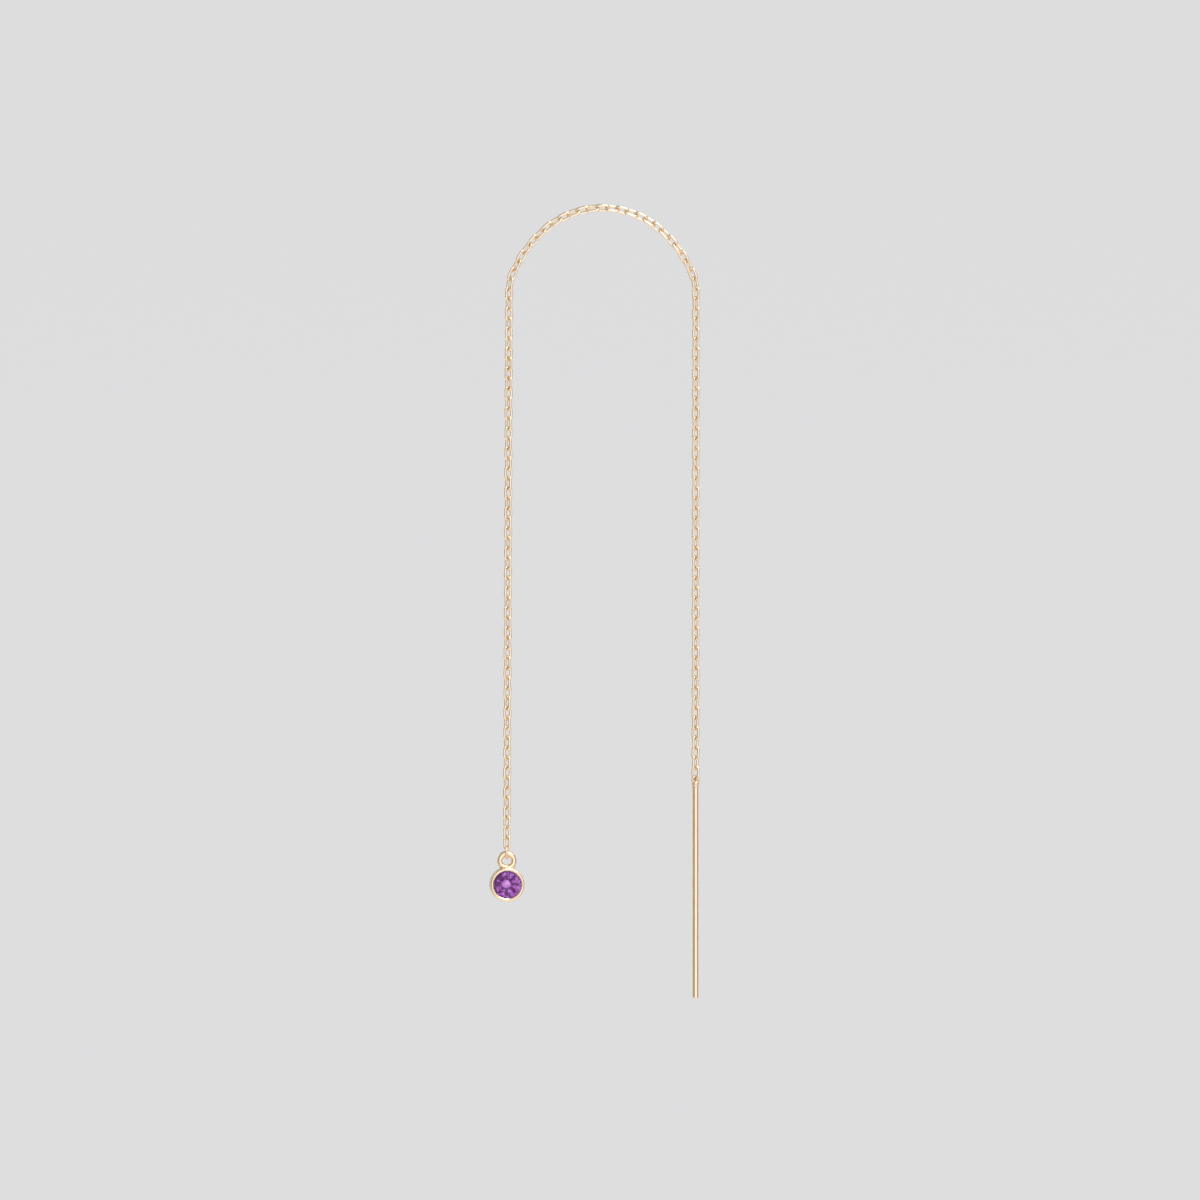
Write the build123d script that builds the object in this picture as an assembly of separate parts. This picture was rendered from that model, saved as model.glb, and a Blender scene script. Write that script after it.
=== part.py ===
from build123d import *
import math
import os

# Threader earring. A fine cable chain lies over the ear in an arch. A faceted stone in a bezel hangs
# from its left end on a jump ring, and a straight round bar hangs from its right end by an eye.
# Millimetres and degrees. +Z is up and the stone looks towards -Y. The origin is the middle of the
# link at the top of the arch, where the chain lies in the piercing.

# Cable chain
WIRE = 0.235
LINK_WIDTH = 0.975
LINK_PITCH = 0.996
LINK_PLAY = 0.13
LINK_LENGTH = LINK_PITCH + 2 * WIRE + LINK_PLAY
LINK_ROLL = 38.0

# Route of the chain: a round crown, flatter shoulders, one link at the bend, then straight legs
CROWN_RADIUS = 8.75
CROWN_ANGLE = 38.8
SHOULDER_RADIUS = 11.7
ARCH_LINKS = 12
BEND_HEADING = 81.0
LEFT_LEG_LINKS = 56
RIGHT_LEG_LINKS = 49
LEFT_LEAN = 0.22
RIGHT_LEAN = -0.06
TWISTED_LINKS = 4
END_TWIST = 14.0

# Jump ring, nearly edge-on to the front
RING_INNER = 1.18
RING_WIRE = 0.24
RING_ROLL = -92.0
RING_PLAY = 0.10

# Bezel with its soldered loop
LOOP_RADIUS = 0.70
LOOP_WIRE = 0.60
LOOP_PLAY = 0.12
LOOP_ABOVE_BEZEL = 2.43
BEZEL_RADIUS = 1.72
BEZEL_DEPTH = 2.0
BEZEL_BACK_ROUND = 0.28
LIP_ROUND = 0.12
MOUTH_RADIUS = 1.375
FLOOR_THICKNESS = 0.28
WELL_RADIUS = 1.25
SOLDER_ROUND = 0.15
DROP_TURN = 4.0

# Faceted stone: a round brilliant
STONE_RADIUS = 1.50
TABLE_RADIUS = 0.82
CROWN_SLOPE = 31.0
PAVILION_SLOPE = 40.0
STAR_REACH = 0.76
PAVILION_REACH = 0.24
GIRDLE = 0.06
STONE_GAP = 0.03
GIRDLE_BELOW_LIP = 0.20

# Threader bar with the eye on its top
BAR_RADIUS = 0.33
BAR_BOTTOM = -79.03
BAR_TIP_ROUND = 0.20
EYE_RADIUS = 0.37
EYE_WIRE = 0.26
EYE_PLAY = 0.10
BEAD_RADIUS = 0.36
BEAD_LENGTH = 0.60
NECK_RADIUS = 0.22
EYE_SUNK_IN_BEAD = 0.15

FRONT_TO_BACK = Vector(0, 1, 0)
FROM_BASE = (Align.CENTER, Align.CENTER, Align.MIN)


def ring(centre, normal, radius, wire):
    """A closed ring of round wire."""
    return Plane(origin=centre, z_dir=normal) * Torus(radius, wire / 2)


def cable_link():
    """One link along X, with its width along Y: two half rings joined by two straight wires."""
    end_radius = (LINK_WIDTH - WIRE) / 2
    straight = LINK_LENGTH - LINK_WIDTH
    half_ring = Torus(end_radius, WIRE / 2, major_angle=180, align=None)
    right_end = Pos(straight / 2, 0, 0) * Rot(0, 0, -90) * half_ring
    left_end = Pos(-straight / 2, 0, 0) * Rot(0, 0, 90) * half_ring
    wire = Rot(0, 90, 0) * Cylinder(WIRE / 2, straight)
    return right_end + left_end + Pos(0, end_radius, 0) * wire + Pos(0, -end_radius, 0) * wire


def link_heading(step, lean):
    """How far the link that many places from the top of the arch has turned from level."""
    if step > ARCH_LINKS + 1:
        return 90 - lean
    if step > ARCH_LINKS:
        return BEND_HEADING
    crown_length = CROWN_RADIUS * math.radians(CROWN_ANGLE)
    along = step * LINK_PITCH
    if along <= crown_length:
        return math.degrees(along / CROWN_RADIUS)
    return CROWN_ANGLE + math.degrees((along - crown_length) / SHOULDER_RADIUS)


def width_direction(inward, roll):
    """Across a link: from inwards under the arch, turned about the chain towards the back."""
    angle = math.radians(roll)
    return inward * math.cos(angle) + FRONT_TO_BACK * math.sin(angle)


def link_roll(step, links_after):
    """Each link stands square to the last one, and the last few links before a ring turn with it."""
    roll = LINK_ROLL if step % 2 == 0 else LINK_ROLL - 90
    share = max(0.0, 1 - links_after / TWISTED_LINKS)
    return roll + END_TWIST * share


def chain_side(side, leg_links, lean, twisted):
    """Places of the links from the top of the arch to one end, and the centre of the end wire."""
    joint = Vector(side * LINK_PITCH / 2, 0, 0)
    last = ARCH_LINKS + 1 + leg_links
    places = []
    for step in range(1, last + 1):
        heading = math.radians(link_heading(step, lean))
        along = Vector(side * math.cos(heading), 0, -math.sin(heading))
        inward = Vector(-side * math.sin(heading), 0, -math.cos(heading))
        roll = link_roll(step, last - step if twisted else TWISTED_LINKS)
        across = width_direction(inward, roll)
        middle = joint + along * (LINK_PITCH / 2)
        places.append(Plane(origin=middle, x_dir=along, z_dir=along.cross(across)))
        joint += along * LINK_PITCH
    end_wire = middle + along * ((LINK_LENGTH - WIRE) / 2)
    return places, end_wire, across


def chain(left_places, right_places):
    """All links, each a loose solid with play to the next."""
    top_across = width_direction(Vector(0, 0, -1), LINK_ROLL)
    top = Plane(origin=(0, 0, 0), x_dir=(1, 0, 0), z_dir=Vector(1, 0, 0).cross(top_across))
    link = cable_link()
    links = [place * link for place in left_places + [top] + right_places]
    return Compound(children=links)


def jump_ring(end_wire):
    """The ring that joins the last left link to the drop's loop, and the ring's lowest wire centre."""
    across = width_direction(Vector(1, 0, 0), RING_ROLL)
    normal = across.cross(Vector(0, 0, 1))
    top_inside = end_wire + Vector(0, 0, WIRE / 2 + RING_PLAY)
    centre = top_inside - Vector(0, 0, RING_INNER / 2)
    radius = (RING_INNER + RING_WIRE) / 2
    return ring(centre, normal, radius, RING_WIRE), centre - Vector(0, 0, radius), normal, across


def bezel_cup():
    """The round cup, mouth up along Z: a well, a seat for the stone and a lip turned over its edge."""
    top = BEZEL_DEPTH / 2
    girdle_top = top - GIRDLE_BELOW_LIP
    seat_radius = STONE_RADIUS + STONE_GAP
    drop_to_seat = (STONE_RADIUS - WELL_RADIUS) * math.tan(math.radians(PAVILION_SLOPE))
    seat = girdle_top - GIRDLE - drop_to_seat - STONE_GAP
    floor = -top + FLOOR_THICKNESS
    lip_start = girdle_top + STONE_GAP / 2
    lip_edge = lip_start + (seat_radius - MOUTH_RADIUS) * math.tan(math.radians(CROWN_SLOPE))
    cup = Cylinder(BEZEL_RADIUS, BEZEL_DEPTH)
    cup = fillet(cup.edges().group_by(Axis.Z)[0], BEZEL_BACK_ROUND)
    cup = fillet(cup.edges().group_by(Axis.Z)[-1], LIP_ROUND)
    well = Pos(0, 0, floor) * Cylinder(WELL_RADIUS, seat - floor, align=FROM_BASE)
    groove = Pos(0, 0, seat) * Cylinder(seat_radius, lip_start - seat, align=FROM_BASE)
    under_lip = Pos(0, 0, lip_start) * Cone(
        seat_radius, MOUTH_RADIUS, lip_edge - lip_start, align=FROM_BASE
    )
    mouth = Pos(0, 0, lip_edge) * Cylinder(MOUTH_RADIUS, top - lip_edge, align=FROM_BASE)
    return cup - (well + groove + under_lip + mouth)


def facet(blank, turn, slope, radius, height):
    """Cuts a flat on the blank through the point at that radius and height, facing that way round."""
    outward = Vector(1, 0, 0).rotate(Axis.Z, turn)
    tilt = math.radians(slope)
    normal = outward * math.sin(abs(tilt)) + Vector(0, 0, math.copysign(math.cos(tilt), slope))
    cut = Plane(origin=outward * radius + Vector(0, 0, height), z_dir=normal)
    return split(blank, bisect_by=cut, keep=Keep.BOTTOM)


def brilliant():
    """The stone, table up along Z, with the top of its girdle at zero height."""
    eighth = 45.0
    half = eighth / 2
    quarter = eighth / 4
    chord = math.cos(math.radians(quarter))
    edge = math.cos(math.radians(half))

    crown_rise = math.tan(math.radians(CROWN_SLOPE))
    crown = (STONE_RADIUS - TABLE_RADIUS) * crown_rise
    star_radius = STAR_REACH * STONE_RADIUS
    star_height = (STONE_RADIUS - star_radius * edge) * crown_rise
    star_slope = math.degrees(
        math.atan2(crown - star_height, star_radius - TABLE_RADIUS * edge)
    )
    upper_slope = math.degrees(
        math.atan2(star_height, (STONE_RADIUS - star_radius) * chord)
    )

    pavilion_rise = math.tan(math.radians(PAVILION_SLOPE))
    lower_radius = PAVILION_REACH * STONE_RADIUS
    lower_depth = (STONE_RADIUS - lower_radius * edge) * pavilion_rise
    lower_slope = math.degrees(
        math.atan2(lower_depth, (STONE_RADIUS - lower_radius) * chord)
    )
    pavilion = STONE_RADIUS * pavilion_rise

    blank = Pos(0, 0, -GIRDLE - pavilion) * Cylinder(
        STONE_RADIUS, crown + GIRDLE + pavilion, align=FROM_BASE
    )
    for turn in range(8):
        main = turn * eighth
        blank = facet(blank, main, CROWN_SLOPE, STONE_RADIUS, 0)
        blank = facet(blank, main + half, star_slope, TABLE_RADIUS * edge, crown)
        blank = facet(blank, main, -PAVILION_SLOPE, STONE_RADIUS, -GIRDLE)
        for side in (-quarter, quarter):
            blank = facet(blank, main + side, upper_slope, STONE_RADIUS * chord, 0)
            blank = facet(blank, main + side, -lower_slope, STONE_RADIUS * chord, -GIRDLE)
    return blank


def drop(pin):
    """The bezel with its loop hanging on the jump ring, and the stone in it."""
    turn = math.radians(DROP_TURN)
    front = Vector(math.sin(turn), -math.cos(turn), 0)
    loop_top = pin + Vector(0, 0, RING_WIRE / 2 + LOOP_PLAY + LOOP_WIRE / 2)
    loop_centre = loop_top - Vector(0, 0, LOOP_RADIUS)
    bezel_centre = loop_centre - Vector(0, 0, LOOP_ABOVE_BEZEL)
    facing = Plane(origin=bezel_centre, x_dir=Vector(0, 0, 1), z_dir=front)
    cup = facing * bezel_cup()
    loop = ring(loop_centre, front, LOOP_RADIUS, LOOP_WIRE)
    setting = cup + loop
    meeting = [edge for edge in setting.edges() if edge.geom_type == GeomType.BSPLINE]
    setting = fillet(meeting, SOLDER_ROUND)
    stone = facing * Pos(0, 0, BEZEL_DEPTH / 2 - GIRDLE_BELOW_LIP) * brilliant()
    return setting, stone


def bar_rod(top):
    """The straight rod with a rounded tip, swelling to a bead of solder at its top."""
    start = (BAR_RADIUS - BAR_TIP_ROUND, BAR_BOTTOM)
    tip_end = (BAR_RADIUS, BAR_BOTTOM + BAR_TIP_ROUND)
    bead_start = (BAR_RADIUS, top - BEAD_LENGTH)
    bead_end = (NECK_RADIUS, top)
    outline = [
        Line((0, BAR_BOTTOM), start),
        RadiusArc(start, tip_end, -BAR_TIP_ROUND),
        Line(tip_end, bead_start),
        ThreePointArc(bead_start, (BEAD_RADIUS, top - BEAD_LENGTH / 2), bead_end),
        Line(bead_end, (0, top)),
        Line((0, top), (0, BAR_BOTTOM)),
    ]
    return revolve(Plane.XZ * make_face(Curve() + outline), Axis.Z)


def threader_bar(end_wire, link_across):
    """The bar, with the eye soldered on its top round the last link's wire."""
    inside_top = end_wire + Vector(0, 0, WIRE / 2 + EYE_PLAY)
    eye_centre = inside_top - Vector(0, 0, EYE_RADIUS - EYE_WIRE / 2)
    eye = ring(eye_centre, link_across, EYE_RADIUS, EYE_WIRE)
    top = eye_centre.Z - EYE_RADIUS - EYE_WIRE / 2 + EYE_SUNK_IN_BEAD
    return Pos(eye_centre.X, eye_centre.Y, 0) * bar_rod(top) + eye


def main():
    left_places, left_end, left_across = chain_side(-1, LEFT_LEG_LINKS, LEFT_LEAN, True)
    right_places, right_end, right_across = chain_side(1, RIGHT_LEG_LINKS, RIGHT_LEAN, False)
    hoop, pin, ring_normal, ring_across = jump_ring(left_end)
    setting, stone = drop(pin)
    nodes = {
        "chain": chain(left_places, right_places),
        "jump_ring": hoop,
        "bezel_drop": setting,
        "faceted_stone": stone,
        "threader_bar": threader_bar(right_end, right_across),
    }
    os.makedirs("parts", exist_ok=True)
    for name, shape in nodes.items():
        export_step(shape, f"parts/{name}.step")
    print("left end wire", left_end, "ring normal", ring_normal)
    print("jump ring's lowest wire", pin, "ring across", ring_across)
    print("right end wire", right_end, "link across", right_across)


main()
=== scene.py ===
import math
import random

import bpy
from mathutils import Matrix, Vector


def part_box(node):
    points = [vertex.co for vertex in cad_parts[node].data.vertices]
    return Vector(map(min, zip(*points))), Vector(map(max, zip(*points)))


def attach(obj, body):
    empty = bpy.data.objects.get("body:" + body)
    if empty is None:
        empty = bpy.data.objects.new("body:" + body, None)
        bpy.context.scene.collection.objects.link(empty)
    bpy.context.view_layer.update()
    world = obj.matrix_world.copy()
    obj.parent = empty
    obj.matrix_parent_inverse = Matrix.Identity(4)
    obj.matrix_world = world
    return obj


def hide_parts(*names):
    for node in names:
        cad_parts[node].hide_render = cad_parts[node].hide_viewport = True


bl_info = {
    "name": "Threader Earring",
    "version": (1, 0, 0),
    "blender": (4, 5, 0),
    "location": "3D View > Sidebar > Earring",
    "description": "A gold threader earring: cable chain, bezel-set amethyst and straight bar",
    "category": "Object",
}

# The frame is in metres. Pieces are modelled in millimetres and then brought to metres.
MM = 0.001
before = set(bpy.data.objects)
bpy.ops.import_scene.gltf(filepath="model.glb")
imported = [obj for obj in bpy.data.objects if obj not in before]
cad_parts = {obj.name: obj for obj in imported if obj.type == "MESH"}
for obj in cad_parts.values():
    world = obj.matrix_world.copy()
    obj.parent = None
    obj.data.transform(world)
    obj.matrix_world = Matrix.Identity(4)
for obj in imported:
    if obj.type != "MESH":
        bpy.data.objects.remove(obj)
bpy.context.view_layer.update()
FRONT_TO_BACK = Vector((0, 1, 0))
UP = Vector((0, 0, 1))
BAR_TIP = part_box("threader_bar")[0].z / MM
SLIM = 0.02  # radius where a turned outline starts or ends, in place of zero


def length(name, description, millimetres):
    """A length property whose default is given in millimetres."""
    return bpy.props.FloatProperty(
        name=name, description=description, default=millimetres * MM,
        min=0, precision=6, subtype="DISTANCE", unit="LENGTH",
    )


def angle(name, description, degrees):
    """An angle property whose default is given in degrees."""
    return bpy.props.FloatProperty(
        name=name, description=description, default=math.radians(degrees),
        subtype="ANGLE", unit="ROTATION",
    )


def count(name, description, value):
    return bpy.props.IntProperty(name=name, description=description, default=value, min=1)


def share(name, description, value):
    return bpy.props.FloatProperty(
        name=name, description=description, default=value, min=0, max=1, subtype="FACTOR"
    )


def colour(name, description, rgb):
    return bpy.props.FloatVectorProperty(
        name=name, description=description, default=rgb, min=0, max=1, size=3, subtype="COLOR"
    )


def number(name, description, value):
    return bpy.props.FloatProperty(name=name, description=description, default=value, min=0)


class EarringChain(bpy.types.PropertyGroup):
    """Sizes of the cable chain and of its way over the ear."""
    wire: length("Wire", "Thickness of the drawn wire", 0.28)
    width: length("Link width", "Outer width of a link", 0.975)
    pitch: length("Pitch", "From one link's middle to the next, in the straight legs", 0.998)
    arch_pitch: length("Arch pitch", "The same in the arch, where the chain lies loose", 0.990)
    slack: length("Slack", "Room between two links where they bear on each other", 0.006)
    roll: angle("Roll", "Turn of every second link about the chain", 38)
    crown_twist: angle("Crown twist", "How much further the links turn at the top of the arch", 7)
    crown_links: count("Crown links", "Links from the top over which that twist runs out", 9)
    unevenness: angle("Unevenness", "Most that a link strays from its turn", 2)
    crown_radius: length("Crown radius", "Radius of the top of the arch", 8.79)
    crown_angle: angle("Crown angle", "Where the crown ends, from the top", 38.8)
    shoulder_radius: length("Shoulder radius", "Radius of the arch beside the crown", 11.75)
    bend_heading: angle("Bend", "Heading of the one link between arch and leg", 81)
    arch_links: count("Arch links", "Links on each side of the top one", 12)
    left_links: count("Left links", "Links in the left leg", 56)
    right_links: count("Right links", "Links in the right leg", 49)
    left_lean: angle("Left lean", "Lean of the left leg", 0.22)
    right_lean: angle("Right lean", "Lean of the right leg", -0.06)
    twisted_links: count("Twisted links", "Links at the left end that turn with the ring", 4)
    end_twist: angle("End twist", "Turn of the last left link", 8)
    seam_swell: share("Seam swell", "How much a link's soldered seam stands proud", 0.04)


class EarringRing(bpy.types.PropertyGroup):
    """Sizes of the jump ring between the chain and the drop."""
    wire: length("Wire", "Thickness of the ring's wire", 0.24)
    inner: length("Inner width", "Inner width of the ring", 0.90)
    roll: angle("Roll", "Turn of the ring, from facing the front", -92)
    seam: length("Seam", "Width of the closed cut", 0.02)
    seam_waist: share("Seam waist", "Thickness of the wire at the cut, beside the rest", 0.9)


class EarringSetting(bpy.types.PropertyGroup):
    """Sizes of the bezel and of its loop."""
    turn: angle("Turn", "Turn of the drop towards the right", 5.0)
    radius: length("Bezel radius", "Outer radius of the bezel", 1.725)
    depth: length("Depth", "Depth of the bezel from front to back", 1.96)
    back_round: length("Back rounding", "Rounding of the closed back's edge", 0.38)
    mouth_radius: length("Mouth radius", "Inner radius of the lip", 1.375)
    lip_height: length("Lip height", "Height of the lip rubbed over the stone", 0.24)
    lip_groove: length("Lip groove", "How far the wall lies back under the lip", 0.018)
    lip_round: length("Lip rounding", "Rounding of the lip's outer edge", 0.20)
    lip_bevel: length("Lip bevel", "Width of the lip's inner slope", 0.13)
    lip_dip: length("Lip dip", "How far that slope falls towards the stone", 0.045)
    seat_room: length("Seat room", "Room round the girdle in its seat", 0.03)
    seat_drop: length("Seat drop", "Room between the main facets and the well's edge", 0.04)
    well_radius: length("Well radius", "Radius of the well under the stone", 1.25)
    floor: length("Floor", "Thickness of the closed back", 0.28)
    loop_radius: length("Loop radius", "Radius of the loop, to the middle of its wire", 0.70)
    loop_wire: length("Loop wire", "Thickness of the loop's wire", 0.60)
    loop_rise: length("Loop rise", "From the bezel's middle up to the loop's middle", 2.37)
    solder: length("Solder", "Size of the drop of solder beside the loop's foot", 0.24)
    solder_aside: length("Solder aside", "From the middle of the loop's foot to that drop", 0.62)
    solder_out: length("Solder out", "How far that drop's middle lies outside the wall", 0.03)
    solder_share: share("Right drop", "Size of the right drop of solder beside the left one", 0.75)


class EarringStone(bpy.types.PropertyGroup):
    """Cut of the amethyst."""
    radius: length("Radius", "Radius of the stone", 1.5)
    table: length("Table", "Radius of the flat table", 0.82)
    girdle: length("Girdle", "Thickness of the girdle", 0.06)
    below_lip: length("Depth in the bezel", "How far the girdle lies below the lip", 0.21)
    crown_slope: angle("Crown slope", "Slope of the main facets above the girdle", 31)
    pavilion_slope: angle("Pavilion slope", "Slope of the main facets below the girdle", 42)
    star_reach: share("Star reach", "How far out the star facets reach", 0.76)
    lower_reach: share("Lower reach", "How far in the lower facets stop", 0.40)


class EarringBar(bpy.types.PropertyGroup):
    """Sizes of the bar and of its eye."""
    radius: length("Bar radius", "Radius of the straight bar", 0.335)
    tip_round: length("Tip rounding", "Rounding of the bar's lower edge", 0.17)
    eye_radius: length("Eye radius", "Radius of the eye, to the middle of its wire", 0.37)
    eye_wire: length("Eye wire", "Thickness of the eye's wire", 0.26)
    eye_turn: angle("Eye turn", "Turn of the eye out of square to the last link", 16)
    bead_radius: length("Bead radius", "Radius of the bead of solder round the eye's foot", 0.41)
    bead_length: length("Bead length", "Height of the bead of solder", 0.48)
    bead_rise: length("Bead rise", "From the eye's middle down to the bead's widest part", 0.30)
    solder_reach: length("Solder reach", "How far the solder has run down the bar", 0.42)
    solder_swell: number("Solder swell", "Thickness of the bar there, beside the rest", 1.03)


class EarringFinish(bpy.types.PropertyGroup):
    """Colours of the metal and the stone."""
    gold: colour("Gold", "14 carat gold, polished", (0.94, 0.74, 0.53))
    # A paler copy of the same gold: a painted highlight for the creamier light on the chain's thin
    # wires.
    gold_chain_painted_pale: colour("Chain gold", "The chain's drawn wire, a little paler", (0.95, 0.80, 0.62))
    solder: colour("Solder", "The duller solder of the bar's head", (0.90, 0.69, 0.52))
    gold_deep: colour("Gold in the joints", "The same gold, a little tarnished", (0.86, 0.60, 0.37))
    amethyst: colour("Amethyst", "The stone's own colour", (0.17, 0.036, 0.23))
    # The pale colour serves both the stone's real paler zones and a painted highlight, the pale
    # star in its middle.
    amethyst_zones_and_painted_star: colour("Pale amethyst", "The stone's paler zones", (0.44, 0.22, 0.52))
    amethyst_gloss: colour("Amethyst gloss", "Tint of what the stone mirrors", (0.6, 0.14, 0.75))
    refraction: number("Refraction", "How strongly the stone bends the light", 1.65)
    # The pale star in the stone's middle is a painted highlight. It stands in for the light that
    # the pavilion facets throw back.
    painted_star_radius: length("Heart", "Radius of the pale star in the stone's middle", 0.45)
    painted_star_fade: length("Heart fade", "Width over which that star fades out", 0.30)
    painted_star_arms: count("Heart arms", "Arms of that star", 5)
    painted_star_arm_reach: length("Arm reach", "How far its arms reach out", 0.12)
    painted_star_aside: length("Heart aside", "How far it lies to the right and down", 0.1)


class EarringStage(bpy.types.PropertyGroup):
    """Camera, floor and light."""
    picture_left: length("Picture middle", "How far it lies left of the arch's middle", 0.25)
    picture_down: length("Picture height", "How far its middle lies below the arch's top", 39.195)
    frame_width: length("Frame", "Width of the picture at the earring", 120)
    camera_distance: length("Camera distance", "From the lens to the earring", 700)
    floor_drop: length("Floor drop", "From the bar's tip down to the floor", 45)
    floor_radius: length("Floor radius", "Radius of the level floor", 500)
    sweep_radius: length("Sweep radius", "Radius of the curve from the floor up to the wall", 900)
    wall_height: length("Wall height", "Height of the wall above the curve", 900)
    floor_colour: colour("Floor", "Pale floor, evenly lit", (0.73, 0.73, 0.74))
    wall_shade: share("Wall shade", "How bright the wall is beside the floor", 0.93)
    surround: colour("Surround", "Soft light from the sides", (0.45, 0.445, 0.44))
    bounce: colour("Bounce", "Soft light thrown back by the floor", (0.95, 0.94, 0.92))


def bare_bench():
    """Object mode, with nothing selected."""
    if bpy.context.object and bpy.context.object.mode != "OBJECT":
        bpy.ops.object.mode_set(mode="OBJECT")
    bpy.ops.object.select_all(action="DESELECT")


def only(piece):
    bare_bench()
    piece.select_set(True)
    bpy.context.view_layer.objects.active = piece


def pick(piece, test):
    """Edit mode, with just the points selected whose place passes the test."""
    only(piece)
    bpy.ops.object.mode_set(mode="EDIT")
    bpy.ops.mesh.select_mode(type="VERT")
    bpy.ops.mesh.select_all(action="DESELECT")
    bpy.ops.object.mode_set(mode="OBJECT")
    for vertex in piece.data.vertices:
        vertex.select = test(vertex.co)
    bpy.ops.object.mode_set(mode="EDIT")


def bake_place(piece):
    only(piece)
    bpy.ops.object.transform_apply(location=True, rotation=True, scale=True)


def put(piece, place):
    """Moves a piece modelled at the origin to its place, and keeps the place in its mesh."""
    piece.matrix_world = place
    bake_place(piece)


def apply_modifier(piece, kind, **settings):
    only(piece)
    modifier = piece.modifiers.new(kind.lower(), kind)
    for setting, value in settings.items():
        setattr(modifier, setting, value)
    bpy.ops.object.modifier_apply(modifier=modifier.name)


def join(pieces, name):
    only(pieces[0])
    for piece in pieces[1:]:
        piece.select_set(True)
    bpy.ops.object.join()
    joined = bpy.context.object
    joined.name = name
    joined.data.name = name
    return joined


def solder_together(pieces, name, voxel, passes):
    """Fuses pieces into one skin, whose inner corners fill like solder."""
    fused = join(pieces, name)
    apply_modifier(fused, "REMESH", mode="VOXEL", voxel_size=voxel, adaptivity=0.0)
    apply_modifier(fused, "SMOOTH", factor=0.5, iterations=passes)
    return fused


def close_up(piece, merge=0.0005):
    """Merges doubles and turns all faces outwards."""
    only(piece)
    bpy.ops.object.mode_set(mode="EDIT")
    bpy.ops.mesh.select_all(action="SELECT")
    bpy.ops.mesh.remove_doubles(threshold=merge)
    bpy.ops.mesh.normals_make_consistent(inside=False)
    bpy.ops.object.mode_set(mode="OBJECT")


def finish_piece(piece, material, body, node, crease=None):
    """Brings a piece to metres and hangs it on its body, in the node's stead.

    Without a material it keeps those that its parts have."""
    bake_place(piece)
    piece.scale = (MM, MM, MM)
    bake_place(piece)
    if crease is None:
        bpy.ops.object.shade_smooth()
    elif crease > 0:
        bpy.ops.object.shade_smooth_by_angle(angle=crease)
    else:
        bpy.ops.object.shade_flat()
    if material:
        piece.data.materials.clear()
        piece.data.materials.append(material)
    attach(piece, body)
    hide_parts(node)
    bare_bench()


def turn_on_lathe(name, rings, sides, hoop=False):
    """A turned piece about Z: each ring of the outline is drawn out of the one before.

    Its ends are closed, or in a hoop left open, for the outline to meet itself."""
    radius, height = rings[0]
    bare_bench()
    bpy.ops.mesh.primitive_circle_add(
        vertices=sides, radius=radius, fill_type="NGON", location=(0, 0, height)
    )
    turned = bpy.context.object
    turned.name = name
    bake_place(turned)
    bpy.ops.object.mode_set(mode="EDIT")
    bpy.ops.mesh.select_mode(type="FACE")
    bpy.ops.mesh.select_all(action="SELECT")
    for next_radius, next_height in rings[1:]:
        bpy.ops.mesh.extrude_region_move(
            TRANSFORM_OT_translate={"value": (0, 0, next_height - height)}
        )
        ratio = next_radius / radius
        bpy.ops.transform.resize(value=(ratio, ratio, 1), center_override=(0, 0, next_height))
        radius, height = next_radius, next_height
    if hoop:
        bpy.ops.mesh.select_face_by_sides(number=4, type="GREATER", extend=False)
        bpy.ops.mesh.delete(type="ONLY_FACE")
    bpy.ops.object.mode_set(mode="OBJECT")
    return turned


def arc(centre_radius, centre_height, radius, start, end, steps):
    """Points of an outline along an arc, from one angle to the other, in degrees from level."""
    points = []
    for step in range(steps + 1):
        at = math.radians(start + (end - start) * step / steps)
        points.append(
            (centre_radius + radius * math.cos(at), centre_height + radius * math.sin(at))
        )
    return points


def wire_ring(name, radius, wire, steps, sides, place=Matrix.Identity(4), offset=0.0):
    """A closed ring of round wire about Z, moved to its place."""
    bare_bench()
    bpy.ops.mesh.primitive_torus_add(
        major_segments=steps, minor_segments=sides, major_radius=radius,
        minor_radius=wire / 2, rotation=(0, 0, offset),
    )
    made = bpy.context.object
    made.name = name
    bake_place(made)
    put(made, place)
    return made


def frame_of(origin, x_axis, z_axis):
    """A placing matrix from an origin, a direction for X and one for Z."""
    x_axis = x_axis.normalized()
    z_axis = z_axis.normalized()
    columns = Matrix((x_axis, z_axis.cross(x_axis), z_axis)).transposed()
    return Matrix.Translation(origin) @ columns.to_4x4()


def link_heading(sizes, step, lean):
    """How far the link that many places from the top of the arch has turned from level."""
    if step > sizes.arch_links + 1:
        return math.pi / 2 - lean
    if step > sizes.arch_links:
        return sizes.bend_heading
    crown = sizes.crown_radius * sizes.crown_angle
    along = step * sizes.arch_pitch
    if along <= crown:
        return along / sizes.crown_radius
    return sizes.crown_angle + (along - crown) / sizes.shoulder_radius


def across_direction(inward, roll):
    """Across a link: from inwards under the arch, turned about the chain towards the back."""
    return inward * math.cos(roll) + FRONT_TO_BACK * math.sin(roll)


def link_roll(sizes, step):
    """Each link stands square to the last one, and at the crown it turns a little further."""
    roll = sizes.roll if step % 2 == 0 else sizes.roll - math.pi / 2
    return roll + sizes.crown_twist * max(0.0, 1 - step / sizes.crown_links)


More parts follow.
